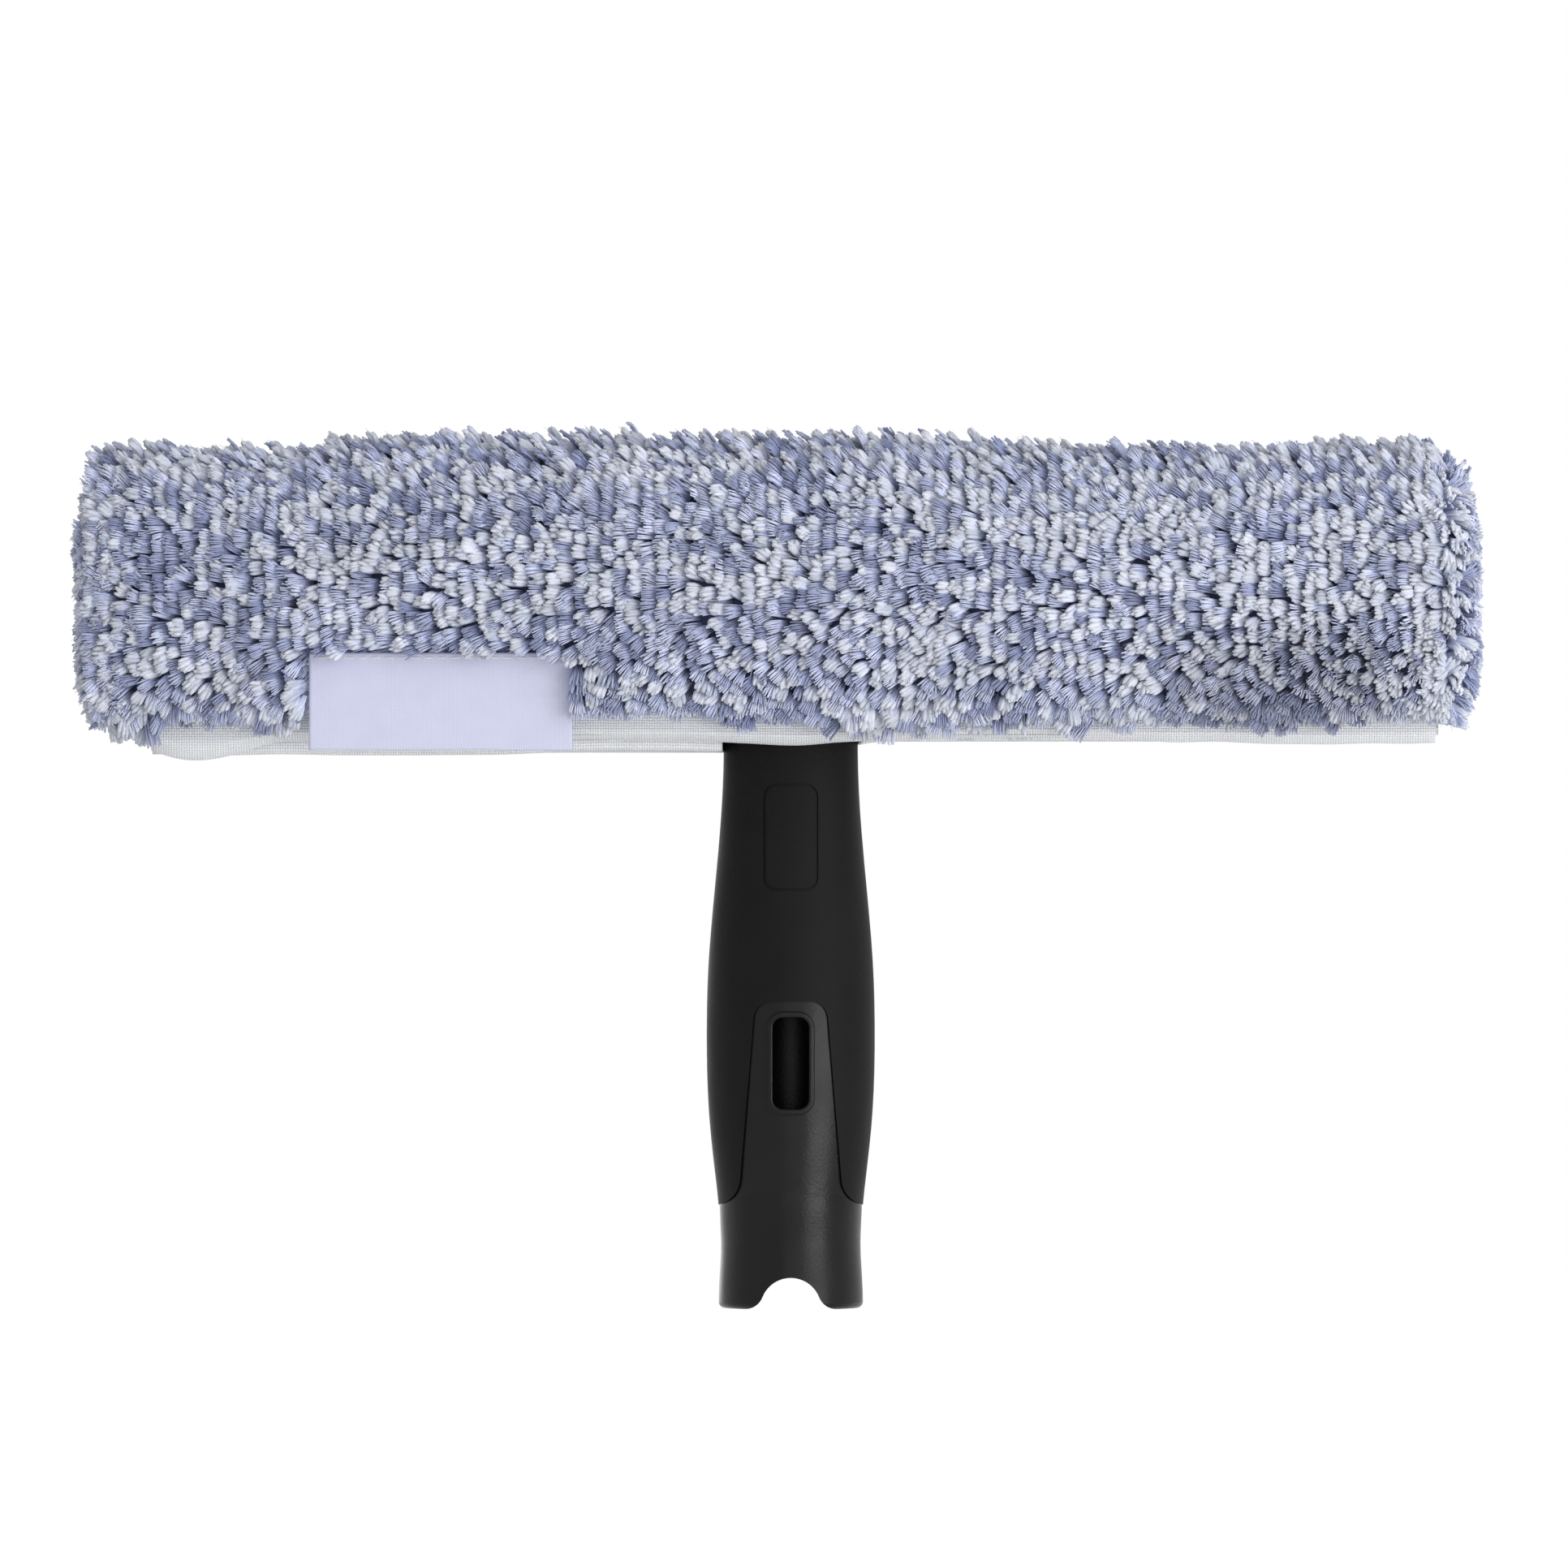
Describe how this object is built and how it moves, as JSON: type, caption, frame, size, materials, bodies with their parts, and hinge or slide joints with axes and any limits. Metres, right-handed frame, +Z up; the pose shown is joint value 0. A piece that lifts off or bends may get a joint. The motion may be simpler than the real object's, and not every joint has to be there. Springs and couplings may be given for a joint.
{
  "type": "window scrubber",
  "caption": "Window scrubber: a T-shaped handle with a pole socket and soft grip, and a removable tufted washing sleeve closed under the bar by lapped canvas flaps.",
  "frame": {"origin": "centre of the pole socket's mouth, on the handle's axis", "axes": "+Z up the handle towards the bar, +X along the bar to the right as seen from the front, front with the label facing -Y"},
  "size_m": [0.356, 0.0586, 0.2194],
  "materials": {
    "core_plastic": "fine-textured black moulding",
    "grip_rubber": "soft matt black overmould",
    "bar_plastic": "black extrusion",
    "cap_plastic": "black moulding",
    "screw_steel": "plain steel",
    "pile_yarn": "cut pile of blue-grey and white yarn",
    "lining_canvas": "plain white lining",
    "hem_canvas": "white basket-weave canvas",
    "hook_tape": "hook fastening tape",
    "loop_tape": "loop fastening tape",
    "label_weave": "fine ribbed woven label, bare"
  },
  "bodies": {
    "t_bar": {"handle_core": "core_plastic", "grip_cover": "grip_rubber", "bar_tube": "bar_plastic", "bar_insert": "bar_plastic", "bar_cap_left": "cap_plastic", "bar_cap_right": "cap_plastic", "bar_screws": "screw_steel"},
    "sleeve": {"pile_wrap": "pile_yarn", "pile_end_left": "pile_yarn", "pile_end_right": "pile_yarn", "lining_wrap": "lining_canvas", "lining_end_left": "lining_canvas", "lining_end_right": "lining_canvas", "front_hem": "hem_canvas", "rear_hem": "hem_canvas"},
    "front_flap": {"front_flap": "hem_canvas", "hook_tape_left": "hook_tape", "hook_tape_right": "hook_tape"},
    "rear_flap": {"rear_flap": "hem_canvas", "loop_tape_left": "loop_tape", "loop_tape_right": "loop_tape"},
    "label": {"label": "label_weave"}
  },
  "joints": [
    {"name": "sleeve_lift", "type": "slide", "parent": "t_bar", "child": "sleeve", "axis": [0, 0, 1], "range_m": [0, 0.068]},
    {"name": "front_flap_open", "type": "hinge", "parent": "sleeve", "child": "front_flap", "pos_m": [0, -0.0165, 0.1438], "axis": [-1, 0, 0], "range_deg": [0, 141]},
    {"name": "rear_flap_open", "type": "hinge", "parent": "sleeve", "child": "rear_flap", "pos_m": [0, 0.0165, 0.1405], "axis": [1, 0, 0], "range_deg": [0, 141]},
    {"name": "label_flip", "type": "hinge", "parent": "sleeve", "child": "label", "pos_m": [-0.0877, -0.02393, 0.1648], "axis": [-1, 0, 0], "range_deg": [0, 60]}
  ],
  "couplings": [
    {"joint": "front_flap_open", "follows": "sleeve_lift", "rad_per_m": 36},
    {"joint": "rear_flap_open", "follows": "sleeve_lift", "rad_per_m": 36}
  ]
}
